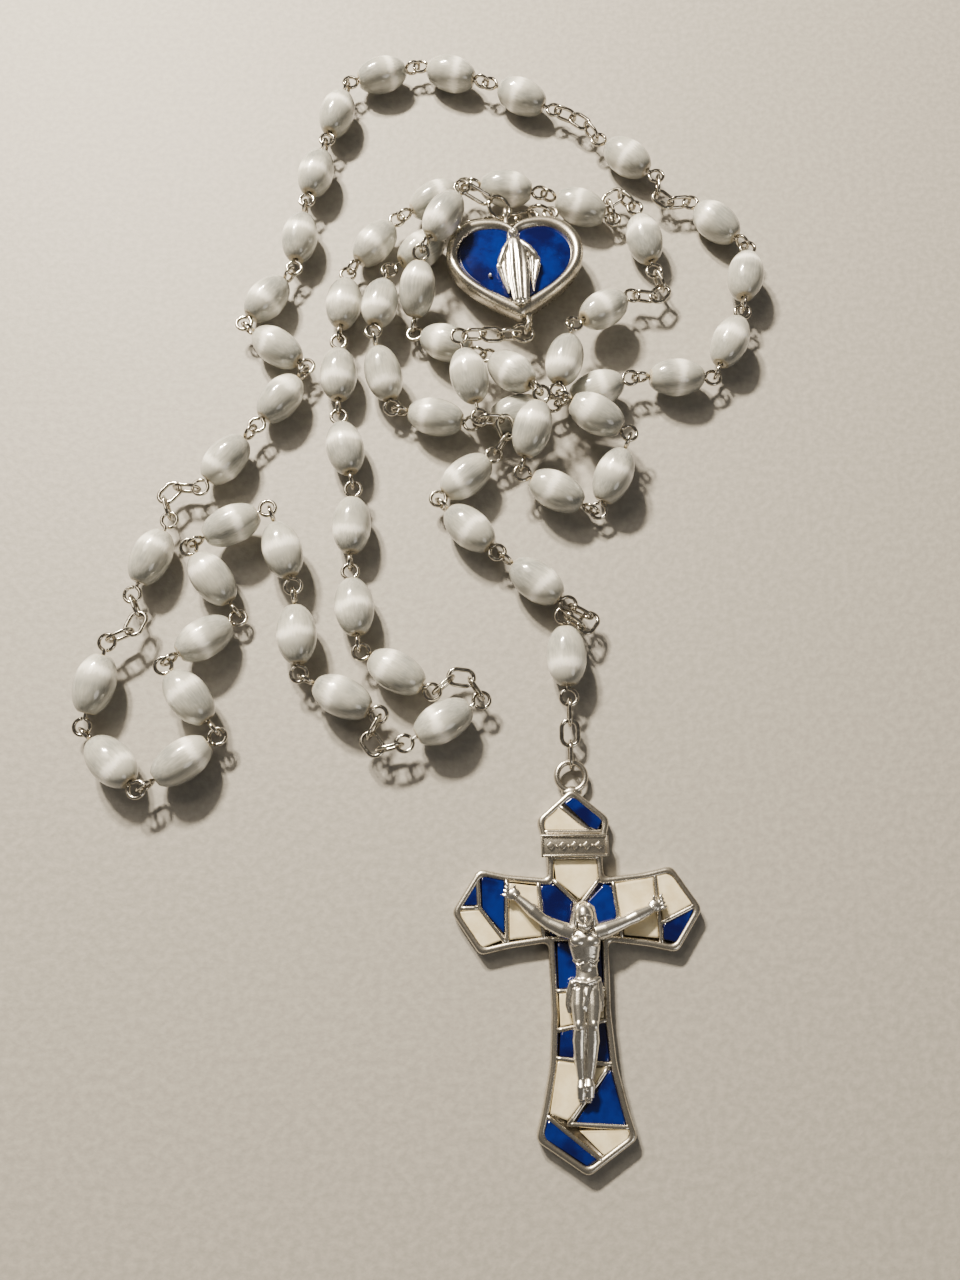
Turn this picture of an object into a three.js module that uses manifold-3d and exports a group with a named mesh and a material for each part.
// Rosary laid on a table: five decades of barrel beads on eye pins, short cable chains
// beside the larger prayer beads, an enamelled heart centrepiece and an enamelled crucifix.
// Millimetres, +Z up, origin on the table under the middle of the layout.
import * as THREE from 'three';
import Module from 'manifold-3d';
import { mergeVertices } from 'three/addons/utils/BufferGeometryUtils.js';

const wasm = await Module();
wasm.setup();

// ---- Driving sizes ---------------------------------------------------------------------
const beadLength = 9.2;
const beadDiameter = 6.2;
const beadEndDiameter = 2.3;
const boreDiameter = 1.2;
const wireDiameter = 0.6;         // eye pins
const eyeDiameter = 3.1;          // outside of an eye turned on a pin
const linkWire = 0.7;             // cable chain
const linkLength = 4.6;           // outside of one oval link
const linkWidth = 3.2;
const play = 0.3;                 // free gap between two hooked wires

const heartWidth = 23.8;
const heartHeight = 20.2;
const heartThickness = 3.2;
const heartRim = 1.7;             // width of the rolled rim round the enamel
const heartLift = 3.0;            // underside of the heart above the table
const heartTurn = 4;              // degrees

const crossWidth = 36.0;
const crossHeight = 51.7;
const crossThickness = 2.2;
const crossTurn = 0.9;            // degrees
const loopDiameter = 5.2;         // cast hanging loop
const loopWire = 0.9;
const enamelDepth = 0.7;
const seat = 0.1;                 // gap round an enamel fill

// ---- Where the strand lies ---------------------------------------------------------------
// Hook points of the strand, one between each pair of beads, as [x, y, height], for a bead
// 9.2 long and 6.2 across. A height over 4 is where one strand climbs over another.
const standardPitch = 13.9;
const standardDiameter = 6.2;
const decadeRoutes = [
  [[1.5, 57, 2.5], [-10, 47, 4], [-12, 33.5, 5.5], [-8.5, 20.5, 3], [5, 17.5, 3.5],
    [18.5, 21.5, 3], [31.5, 26, 4], [45.5, 26.5, 3], [51, 39, 4], [53, 52.5, 3.5], [43.5, 62.5, 3]],
  [[20, 83, 3], [7.5, 89, 3.5], [-5.5, 93.5, 3], [-18.5, 89, 3.5], [-22, 75.5, 3.5],
    [-25, 62, 3.5], [-26.5, 48, 3], [-34.5, 36.5, 3.5], [-23, 28.5, 3], [-31, 17, 3.5], [-39.5, 6, 3]],
  [[-51, -20, 4], [-54, -33.5, 2.5], [-44, -43, 4], [-33, -34.5, 3], [-42, -24, 5],
    [-31.5, -15.5, 2], [-40, -4.5, 4.5], [-27.5, 2, 4.5], [-23, -11.5, 4], [-21.5, -25.5, 3.5],
    [-9, -31.5, 3]],
  [[-1, -28, 3], [-12.5, -21.5, 3.5], [-14.5, -8, 3], [-14.5, 6, 3.5], [-17.5, 19.5, 3],
    [-18, 33.5, 3.5], [-17, 47.5, 3], [-8.5, 58.5, 3.5], [3.5, 65.5, 4], [17, 63.5, 4], [30, 59, 2.5]],
  [[32.5, 42.5, 3.5], [21.5, 34.5, 6.5], [18.5, 21, 7.5], [30.5, 14.5, 5.5], [25, 2, 2.5],
    [12.5, 8, 5], [16, 20.5, 8.5], [7, 30, 4.5], [-5.5, 35.5, 2.5], [-4, 48, 8], [3, 60.5, 9]],
];
// How each decade's ten beads are grouped into nodes.
const decadeGroups = [
  [2, 2, 2, 1, 2, 1],
  [2, 2, 2, 3, 1],
  [1, 2, 2, 2, 3],
  [3, 3, 4],
  [3, 3, 4],
];
const singleBeads = [
  { from: [38, 67.5, 3.5], to: [27.5, 76.5, 3] },
  { from: [-43.5, 0.5, 3.5], to: [-48.5, -12.5, 3] },
  { from: [-5.5, -36, 3.5], to: [6.5, -29, 3] },
  { from: [33.5, 61, 3.5], to: [36.5, 47.5, 3] },
];
const singleChainSides = [[1, -1], [-1, 1], [-1, -1], [1, 1]];
const pendantRoute = [
  [[2.5, 31.5, 8], [6, 16.5, 7]],
  [[8.5, 12, 3.5], [-1, 4, 3]],
  [[-1, 4, 3], [9, -5.5, 3.5]],
  [[9, -5.5, 3.5], [20, -14, 3]],
  [[19, -15.5, 3.5], [19.5, -29, 3]],
];
const heartPlace = [12.2, 47.3];
const crossPlace = [19.9, -59.8];

// ---- Sizes worked out from them -------------------------------------------------------------
const eyeRadius = (eyeDiameter - wireDiameter) / 2;
const eyeReach = wireDiameter + play;                  // how far a flat eye passes the upright wire
const linkSpan = linkLength - linkWire;
const weldShare = 0.3;                                  // hooked wires of one node sink together
const eyeWeld = wireDiameter * weldShare;
const pinWeld = (wireDiameter + linkWire) / 2 * weldShare;
const linkReach = linkWire * weldShare;
const ringReach = linkWire + play;                      // a ring and the piece hooked in it
const hookReach = (wireDiameter + linkWire) / 2 + play;
const beadPitch = beadLength + standardPitch - 9.2;
const spread = Math.max(beadPitch / standardPitch, beadDiameter / standardDiameter);
const rise = beadDiameter / standardDiameter;
const place = ([x, y, z]) => new THREE.Vector3(x * spread, y * spread, z * rise);
const flatWay = (a, b) => new THREE.Vector3().subVectors(b, a).normalize();

const finishes = {
  glass: { color: 0xd9d3bd, roughness: 0.16, metalness: 0 },
  nickel: { color: 0xb9b4a6, roughness: 0.2, metalness: 1 },
  pewter: { color: 0x8f897a, roughness: 0.36, metalness: 1 },
  figure: { color: 0xcfc9b8, roughness: 0.2, metalness: 1 },
  ivory: { color: 0xe2d6ae, roughness: 0.28, metalness: 0 },
  cobalt: { color: 0x0d1f86, roughness: 0.14, metalness: 0 },
};

const rosary = new THREE.Group();

function add(name, geometry, finish, parent = rosary) {
  const mesh = new THREE.Mesh(geometry, new THREE.MeshStandardMaterial(finishes[finish]));
  mesh.name = name;
  parent.add(mesh);
  return mesh;
}

// ---- Joining and cutting --------------------------------------------------------------------
function solid(geometry) {
  const bare = geometry.clone();
  bare.deleteAttribute('normal');
  bare.deleteAttribute('uv');
  const merged = mergeVertices(bare, 1e-5);
  return new wasm.Manifold(new wasm.Mesh({
    numProp: 3,
    vertProperties: new Float32Array(merged.attributes.position.array),
    triVerts: new Uint32Array(merged.index.array),
  }));
}

function geometryOf(manifold) {
  const mesh = manifold.getMesh();
  const geometry = new THREE.BufferGeometry();
  geometry.setAttribute('position', new THREE.BufferAttribute(new Float32Array(mesh.vertProperties), 3));
  geometry.setIndex(new THREE.BufferAttribute(new Uint32Array(mesh.triVerts), 1));
  geometry.computeVertexNormals();
  return geometry;
}

function join(pieces, cuts = []) {
  let whole = pieces.map(solid).reduce((sum, next) => sum.add(next));
  for (const cut of cuts) {
    whole = whole.subtract(solid(cut));
  }
  return geometryOf(whole);
}

// ---- Wire work -------------------------------------------------------------------------------
// A frame on a run of wire: x along it, y level, z up. An upright loop stands in the x-z plane.
function along(geometry, centre, way, upright = false) {
  const level = new THREE.Vector3(-way.y, way.x, 0).normalize();
  const up = new THREE.Vector3().crossVectors(way, level);
  const frame = new THREE.Matrix4().makeBasis(way, level, up).setPosition(centre);
  const turned = geometry.clone();
  if (upright) {
    turned.rotateX(Math.PI / 2);
  }
  return turned.applyMatrix4(frame);
}

function rod(a, b, radius, sides = 4) {
  const bar = new THREE.CylinderGeometry(radius, radius, a.distanceTo(b), sides);
  bar.rotateZ(-Math.PI / 2);
  return along(bar, a.clone().lerp(b, 0.5), flatWay(a, b));
}

function eye(centre, way, upright) {
  return along(new THREE.TorusGeometry(eyeRadius, wireDiameter / 2, 3, 6), centre, way, upright);
}

function ovalLink(centre, way, upright, length = linkLength, width = linkWidth, wire = linkWire) {
  const ring = new THREE.TorusGeometry((width - wire) / 2, wire / 2, 3, 8);
  const half = (length - width) / 2;
  const points = ring.attributes.position;
  for (let i = 0; i < points.count; i += 1) {
    const x = points.getX(i);
    points.setX(i, x + Math.sign(Math.round(x * 1e3)) * half);
  }
  return along(ring, centre, way, upright);
}

// Where the eyes and the bead sit between two hook points. An upright eye has its wire on the
// hook point, and a flat one passes it, so that the next wire stands inside it.
function beadSeat(from, to, startUpright, reach = [eyeReach, eyeReach]) {
  const way = flatWay(from, to);
  const start = from.clone().addScaledVector(way, eyeRadius - (startUpright ? 0 : reach[0]));
  const end = to.clone().addScaledVector(way, reach[1] - eyeRadius);
  return { way, start, end, startUpright, centre: start.clone().lerp(end, 0.5) };
}

function pinPieces({ way, start, end, startUpright }) {
  const stemStart = start.clone().addScaledVector(way, eyeRadius);
  const stemEnd = end.clone().addScaledVector(way, -eyeRadius);
  return [
    eye(start, way, startUpright),
    eye(end, way, false),
    rod(stemStart, stemEnd, wireDiameter / 2),
  ];
}

function barrel(seatOf, bored) {
  const bulge = 4.953 / 4.6;
  const stations = 2;
  const outer = [];
  for (let i = -stations; i <= stations; i += 1) {
    const share = Math.sin((i / stations) * Math.PI / 2);
    const radius = Math.max((beadDiameter / 2) * Math.sqrt(1 - (share / bulge) ** 2), beadEndDiameter / 2);
    outer.push(new THREE.Vector2(radius, share * beadLength / 2));
  }
  const inner = bored ? boreDiameter / 2 : 0;
  const profile = [
    new THREE.Vector2(inner, -beadLength / 2),
    ...outer,
    new THREE.Vector2(inner, beadLength / 2),
  ];
  if (bored) {
    profile.push(profile[0].clone());
  }
  const turned = new THREE.LatheGeometry(profile, 8);
  turned.rotateZ(-Math.PI / 2);
  return along(turned, seatOf.centre, seatOf.way);
}

// A chain of oval links, upright and flat by turns. Upright links reach from hook to hook, and
// flat ones pass them. A chain longer than its span bows to one side.
function chainPieces(from, to, { links = 3, side = 1, firstUpright = true } = {}) {
  const uprights = Array.from({ length: links }, (_, k) => (k % 2 === 0) === firstUpright);
  const steps = uprights.map((upright) => (upright ? linkSpan : linkSpan - 2 * linkReach));
  const heading = (k, bend) => (k - (links - 1) / 2) * bend;
  const spanAt = (bend) => steps.reduce((sum, step, k) => sum + step * Math.cos(heading(k, bend)), 0);
  const span = from.distanceTo(to);
  let low = 0;
  let high = 2 * Math.PI / links;
  for (let i = 0; i < 40; i += 1) {
    const middle = (low + high) / 2;
    if (spanAt(middle) > span) {
      low = middle;
    } else {
      high = middle;
    }
  }
  const way = flatWay(from, to);
  const level = new THREE.Vector3(-way.y, way.x, 0).normalize();
  const pieces = [];
  const hook = from.clone();
  uprights.forEach((upright, k) => {
    const turn = -side * heading(k, low);
    const linkWay = way.clone().multiplyScalar(Math.cos(turn)).addScaledVector(level, Math.sin(turn));
    const centre = hook.clone().addScaledVector(linkWay, steps[k] / 2);
    pieces.push(ovalLink(centre, linkWay, upright));
    hook.addScaledVector(linkWay, steps[k]);
  });
  return pieces;
}

// ---- Decades ----------------------------------------------------------------------------------
decadeRoutes.forEach((route, d) => {
  const hooks = route.map(place);
  let first = 0;
  for (const count of decadeGroups[d]) {
    const pieces = [];
    for (let i = first; i < first + count; i += 1) {
      const startUpright = i > 0;
      const endReach = i === first + count - 1 ? eyeReach : eyeWeld;
      const seatOf = beadSeat(hooks[i], hooks[i + 1], startUpright, [hookReach, endReach]);
      pieces.push(...pinPieces(seatOf), barrel(seatOf, false));
    }
    const label = count === 1 ? `bead_${first + 1}` : `beads_${first + 1}_to_${first + count}`;
    add(`decade_${d + 1}_${label}`, join(pieces), 'glass');
    first += count;
  }
});

// ---- Larger prayer beads between the decades -----------------------------------------------------
// Each bead turns freely on its pin, and the pin carries the chain on both sides.
singleBeads.forEach(({ from, to }, k) => {
  const seatOf = beadSeat(place(from), place(to), false, [pinWeld, pinWeld]);
  const before = place(decadeRoutes[k].at(-1));
  const after = place(decadeRoutes[k + 1][0]);
  const [sideIn, sideOut] = singleChainSides[k];
  const seatFrom = place(from);
  const seatTo = place(to);
  add(`our_father_bead_${k + 1}`, barrel(seatOf, true), 'glass');
  add(`our_father_pin_${k + 1}`, join([
    ...pinPieces(seatOf),
    ...chainPieces(before, seatFrom, { side: sideIn }),
    ...chainPieces(seatTo, after, { side: sideOut }),
  ]), 'nickel');
});

// ---- Pendant beads -----------------------------------------------------------------------------
const pendantHooks = pendantRoute.map((pair) => pair.map(place));
pendantHooks.forEach(([from, to], k) => {
  const startUpright = k === 2 || k === 3;
  const seatOf = beadSeat(from, to, startUpright, [hookReach, k === 1 || k === 2 ? eyeReach : hookReach]);
  add(`pendant_bead_${k + 1}`, barrel(seatOf, true), 'glass');
  add(`pendant_pin_${k + 1}`, join(pinPieces(seatOf)), 'nickel');
});

// ---- Heart centrepiece --------------------------------------------------------------------------
function heartShape(inset) {
  const w = heartWidth / 2 - inset;
  const top = heartHeight * 0.475 - inset;
  const cleft = heartHeight * 0.375 - inset;
  const tip = -heartHeight * 0.525 + inset * 1.35;
  const shape = new THREE.Shape();
  shape.moveTo(0, cleft);
  shape.bezierCurveTo(w * 0.08, cleft + 1.5, w * 0.25, top, w * 0.45, top);
  shape.bezierCurveTo(w * 0.78, top, w, top * 0.66, w, heartHeight * 0.12);
  shape.bezierCurveTo(w, -heartHeight * 0.13, w * 0.48, tip * 0.66, 0, tip);
  shape.bezierCurveTo(-w * 0.48, tip * 0.66, -w, -heartHeight * 0.13, -w, heartHeight * 0.12);
  shape.bezierCurveTo(-w, top * 0.66, -w * 0.78, top, -w * 0.45, top);
  shape.bezierCurveTo(-w * 0.25, top, -w * 0.08, cleft + 1.5, 0, cleft);
  return shape;
}

function plate(shape, low, high, steps = 5) {
  const body = new THREE.ExtrudeGeometry(shape, { depth: high - low, bevelEnabled: false, curveSegments: steps });
  return body.translate(0, 0, low);
}

function block(x0, x1, y0, y1, z0, z1) {
  const body = new THREE.BoxGeometry(x1 - x0, y1 - y0, z1 - z0);
  return body.translate((x0 + x1) / 2, (y0 + y1) / 2, (z0 + z1) / 2);
}

const heart = new THREE.Group();
heart.position.set(heartPlace[0] * spread, heartPlace[1] * spread, heartLift);
heart.rotation.z = THREE.MathUtils.degToRad(heartTurn);
rosary.add(heart);

const heartFloor = heartThickness - 1.5;
const lugWire = 0.7;
const lugRadius = 1.15;
const spineWidth = 2.4;           // metal behind the figure, between the two enamel fields
const heartLugs = {
  left: { at: [-1.0, heartHeight * 0.53], upright: true, way: [0, 1] },
  right: { at: [7.0, heartHeight * 0.535], upright: false, way: [0.3, 1] },
  bottom: { at: [1.2, -heartHeight * 0.59], upright: true, way: [-0.5, -1] },
};
function lug({ at, upright, way }) {
  const direction = new THREE.Vector3(way[0], way[1], 0).normalize();
  const ring = new THREE.TorusGeometry(lugRadius, lugWire / 2, 4, 8);
  return along(ring, new THREE.Vector3(at[0], at[1], heartThickness / 2), direction, upright);
}
function field(inset, side, low, high) {
  const w = heartWidth;
  const half = side < 0 ? block(-w, -spineWidth / 2 - inset, -w, w, low - 1, high + 1)
    : block(spineWidth / 2 + inset, w, -w, w, low - 1, high + 1);
  return geometryOf(solid(plate(heartShape(heartRim + inset), low, high)).intersect(solid(half)));
}
const heartTop = heartThickness - 0.45;
add('heart_frame', join(
  [
    plate(heartShape(0), 0, heartThickness),
    ...Object.values(heartLugs).map(lug),
    block(-1.35, -0.65, heartHeight * 0.36, heartHeight * 0.48, 0.6, heartThickness - 0.6),
    block(6.4, 7.5, heartHeight * 0.42, heartHeight * 0.485, 1.2, 2),
    block(1.2, 2, -heartHeight * 0.56, -heartHeight * 0.45, 1.2, 2),
  ],
  [field(0, -1, heartFloor, heartThickness + 1), field(0, 1, heartFloor, heartThickness + 1)],
), 'pewter', heart);
add('heart_enamel_left', field(seat, -1, heartFloor + seat, heartTop), 'cobalt', heart);
add('heart_enamel_right', field(seat, 1, heartFloor + seat, heartTop), 'cobalt', heart);

// The robed figure stands on the spine between the enamel fields.
function figurePart(radius, height, at, stretch = [1, 1, 1]) {
  const body = new THREE.CylinderGeometry(radius[0], radius[1], height, 8);
  body.scale(...stretch);
  return body.translate(...at);
}
function ball(radius, at, stretch = [1, 1, 1]) {
  return new THREE.SphereGeometry(radius, 7, 5).scale(...stretch).translate(...at);
}
const figureFoot = heartThickness + seat;
const robeHeight = heartHeight * 0.52;
add('heart_figure', join([
  figurePart([1.6, 1.0], robeHeight, [0, -robeHeight * 0.25, figureFoot + 0.7], [1, 1, 0.45]),
  ball(1.75, [0, robeHeight * 0.26, figureFoot + 0.75], [1, 1.25, 0.42]),
  ball(1.0, [0, heartHeight * 0.26, figureFoot + 0.95], [0.9, 1.1, 0.85]),
]), 'figure', heart);

// Rings at the three lugs.
heart.updateMatrixWorld(true);
const lugEdge = ({ at, way }, past) => {
  const direction = new THREE.Vector3(way[0], way[1], 0).normalize();
  const edge = new THREE.Vector3(at[0], at[1], heartThickness / 2).addScaledVector(direction, past);
  return heart.localToWorld(edge);
};
const leftLug = lugEdge(heartLugs.left, lugRadius);
const rightLug = lugEdge(heartLugs.right, lugRadius - hookReach);
const bottomLug = lugEdge(heartLugs.bottom, lugRadius);
const decade5End = place(decadeRoutes[4].at(-1));
const ringDiameter = 5.0;
const ringWire = 0.7;

// Left: one upright link in the last bead's eye, then a round flat ring in the lug.
{
  const way = flatWay(leftLug, decade5End);
  const ringSpan = ringDiameter - ringWire;
  const ringCentre = leftLug.clone().addScaledVector(way, ringSpan / 2 - ringReach);
  const joint = leftLug.clone().addScaledVector(way, ringSpan - ringReach - linkReach);
  const linkCentre = joint.clone().lerp(decade5End, 0.5);
  const length = joint.distanceTo(decade5End) + linkWire;
  add('heart_ring_left', join([
    ovalLink(ringCentre, way, false, ringDiameter, ringDiameter, ringWire),
    ovalLink(linkCentre, way, true, length, linkWidth),
  ]), 'nickel');
}

// Right: a large jump ring in the lug, then a chain under the lugs to the first decade.
const jumpDiameter = 5.2;
const jumpWay = new THREE.Vector3(-4.3, 1.4, -3.0).normalize();
const jumpSpan = jumpDiameter - linkWire;
add('heart_ring_right', ovalLink(
  rightLug.clone().addScaledVector(jumpWay, jumpSpan / 2), jumpWay, true, jumpDiameter, jumpDiameter - 0.4,
), 'nickel');
const chainStart = rightLug.clone().addScaledVector(jumpWay, jumpSpan - ringReach + linkReach);
add('heart_chain', join(chainPieces(chainStart, place(decadeRoutes[0][0]), {
  links: 4, side: -1, firstUpright: false,
})), 'nickel');

// Bottom: a flat jump ring, which the pendant hangs from.
const bottomWay = new THREE.Vector3(-0.8, -0.6, 0.15).normalize();
const dropDiameter = 4.0;
const dropSpan = dropDiameter - linkWire;
add('heart_ring_bottom', ovalLink(
  bottomLug.clone().addScaledVector(bottomWay, dropSpan / 2 - ringReach), bottomWay, false,
  dropDiameter, dropDiameter,
), 'nickel');
const pendantTop = bottomLug.clone().addScaledVector(bottomWay, dropSpan - 2 * ringReach);

// ---- Crucifix -----------------------------------------------------------------------------------
const crucifix = new THREE.Group();
crucifix.position.set(crossPlace[0] * spread, crossPlace[1] * spread, 0);
crucifix.rotation.z = THREE.MathUtils.degToRad(crossTurn);
rosary.add(crucifix);

// Half outline of the flared cross from its apex down to its foot, x as a share of the half
// width and y as a share of the height, measured from the crossing.
const sx = crossWidth / 36;
const sy = crossHeight / 51.7;
const crossHalf = [
  [0, 17.6], [5.4, 13], [4.0, 7.4], [4.1, 4.6], [10.0, 5.2], [14.0, 6.1], [18.0, 0],
  [14.0, -5.9], [9.8, -5.0], [4.3, -4.3], [4.1, -13.6], [4.6, -20.4], [5.8, -25.8], [6.9, -29.6], [0, -34.1],
];
function crossShape(half) {
  const shape = new THREE.Shape();
  half.forEach(([x, y], i) => (i === 0 ? shape.moveTo(x * sx, y * sy) : shape.lineTo(x * sx, y * sy)));
  [...half].reverse().slice(1, -1).forEach(([x, y]) => shape.lineTo(-x * sx, y * sy));
  return shape;
}
function fieldShape(corners, inset) {
  const middle = corners.reduce((sum, [x, y]) => [sum[0] + x / corners.length, sum[1] + y / corners.length], [0, 0]);
  const shape = new THREE.Shape();
  corners.forEach(([x, y], i) => {
    const px = x * sx - Math.sign(x - middle[0]) * inset;
    const py = y * sy - Math.sign(y - middle[1]) * inset;
    return i === 0 ? shape.moveTo(px, py) : shape.lineTo(px, py);
  });
  return shape;
}
const crossFields = {
  head: [[0, 16.2], [-4.6, 12.4], [-3.6, 9.6], [3.6, 9.6], [4.6, 12.4]],
  left_arm: [[-5.2, 3.9], [-13.4, 4.9], [-16.6, 0], [-13.4, -4.7], [-5.2, -3.5]],
  right_arm: [[5.2, 3.9], [5.2, -3.5], [13.4, -4.7], [16.6, 0], [13.4, 4.9]],
  stem: [[-3.0, -6], [-3.6, -20.4], [-5.6, -28.9], [0, -32.5], [5.6, -28.9], [3.6, -20.4], [3.0, -6]],
};
const enamelFloor = crossThickness - enamelDepth;
const loopRadius = (loopDiameter - loopWire) / 2;
const loopY = 17.6 * sy + loopRadius - 0.4;
const loopHeight = 1.5;
const loop = new THREE.TorusGeometry(loopRadius, loopWire / 2, 4, 10).translate(0, loopY, loopHeight);
add('crucifix_casting', join(
  [plate(crossShape(crossHalf), 0, crossThickness), loop],
  Object.values(crossFields).map((corners) => plate(fieldShape(corners, 0), enamelFloor, crossThickness + 1)),
), 'pewter', crucifix);
for (const [name, corners] of Object.entries(crossFields)) {
  const fill = plate(fieldShape(corners, seat), enamelFloor + seat, crossThickness - 0.2);
  add(`crucifix_enamel_${name}`, fill, name === 'head' || name === 'stem' ? 'cobalt' : 'ivory', crucifix);
}

// The name plate and the figure are castings of their own, fixed to the front.
const frontFace = crossThickness + seat;
add('crucifix_titulus', block(-4.9, 4.9, 6.6 * sy, 9.1 * sy, frontFace, frontFace + 0.9), 'pewter', crucifix);

function limb(a, b, radiusA, radiusB) {
  const start = new THREE.Vector3(...a);
  const end = new THREE.Vector3(...b);
  const bar = new THREE.CylinderGeometry(radiusB, radiusA, start.distanceTo(end), 6);
  bar.rotateZ(-Math.PI / 2);
  return along(bar, start.clone().lerp(end, 0.5), flatWay(start, end));
}
const bodyZ = 1.9;                // before the figure is flattened on to the cross
const figureRelief = 0.75;
const armSpan = 9.9 * sx;
add('crucifix_corpus', join([
  ball(1.15, [0, 0.2 * sy, bodyZ + 0.7], [0.95, 1.25, 1]),
  limb([0, -3.2 * sy, bodyZ + 0.1], [0, 0, bodyZ + 0.5], 0.75, 0.6),
  limb([0, -8.2 * sy, bodyZ + 0.1], [0, -2.6 * sy, bodyZ + 0.2], 1.25, 1.9),
  limb([0, -11.4 * sy, bodyZ + 0.1], [0, -7.8 * sy, bodyZ + 0.1], 1.6, 1.45),
  limb([-1.2, -2.9 * sy, bodyZ + 0.2], [-5.4, -1.6 * sy, bodyZ - 0.2], 0.85, 0.7),
  limb([-5.3, -1.65 * sy, bodyZ - 0.2], [-armSpan, 1.2 * sy, bodyZ - 0.5], 0.7, 0.55),
  limb([1.2, -2.9 * sy, bodyZ + 0.2], [5.4, -1.6 * sy, bodyZ - 0.2], 0.85, 0.7),
  limb([5.3, -1.65 * sy, bodyZ - 0.2], [armSpan, 1.2 * sy, bodyZ - 0.5], 0.7, 0.55),
  limb([-0.6, -10.6 * sy, bodyZ + 0.1], [-0.5, -15.4 * sy, bodyZ + 0.6], 1.0, 0.85),
  limb([0.6, -10.6 * sy, bodyZ + 0.1], [0.5, -15.4 * sy, bodyZ + 0.6], 1.0, 0.85),
  limb([-0.5, -15.2 * sy, bodyZ + 0.6], [-0.1, -22.8 * sy, bodyZ - 0.1], 0.85, 0.6),
  limb([0.5, -15.2 * sy, bodyZ + 0.6], [0.1, -22.8 * sy, bodyZ - 0.1], 0.85, 0.6),
  ball(0.7, [0, -23.6 * sy, bodyZ - 0.2], [1, 1.5, 1]),
]).scale(1, 1, figureRelief).translate(0, 0, frontFace), 'figure', crucifix);

// ---- Pendant chains ------------------------------------------------------------------------------
crucifix.updateMatrixWorld(true);
const hangWay = new THREE.Vector3(0, -1, 0);
const hookHeight = (linkWidth + play) / 2;
const loopTop = crucifix.localToWorld(new THREE.Vector3(0, loopY + loopRadius, hookHeight));
const crossHook = loopTop.clone().addScaledVector(hangWay, (loopWire + linkWire) / 2 + play);
const pendantChains = [
  [pendantTop, pendantHooks[0][0], -1],
  [pendantHooks[0][1], pendantHooks[1][0], 1],
  [pendantHooks[3][1], pendantHooks[4][0], 1],
  [pendantHooks[4][1], crossHook, 1],
];
pendantChains.forEach(([from, to, side], k) => {
  add(`pendant_chain_${k + 1}`, join(chainPieces(from, to, { side })), 'nickel');
});

// The origin is on the table, under the middle of the whole layout.
const extent = new THREE.Box3().setFromObject(rosary, true);
const middle = extent.getCenter(new THREE.Vector3());
rosary.position.set(-middle.x, -middle.y, -extent.min.z);

export default rosary;
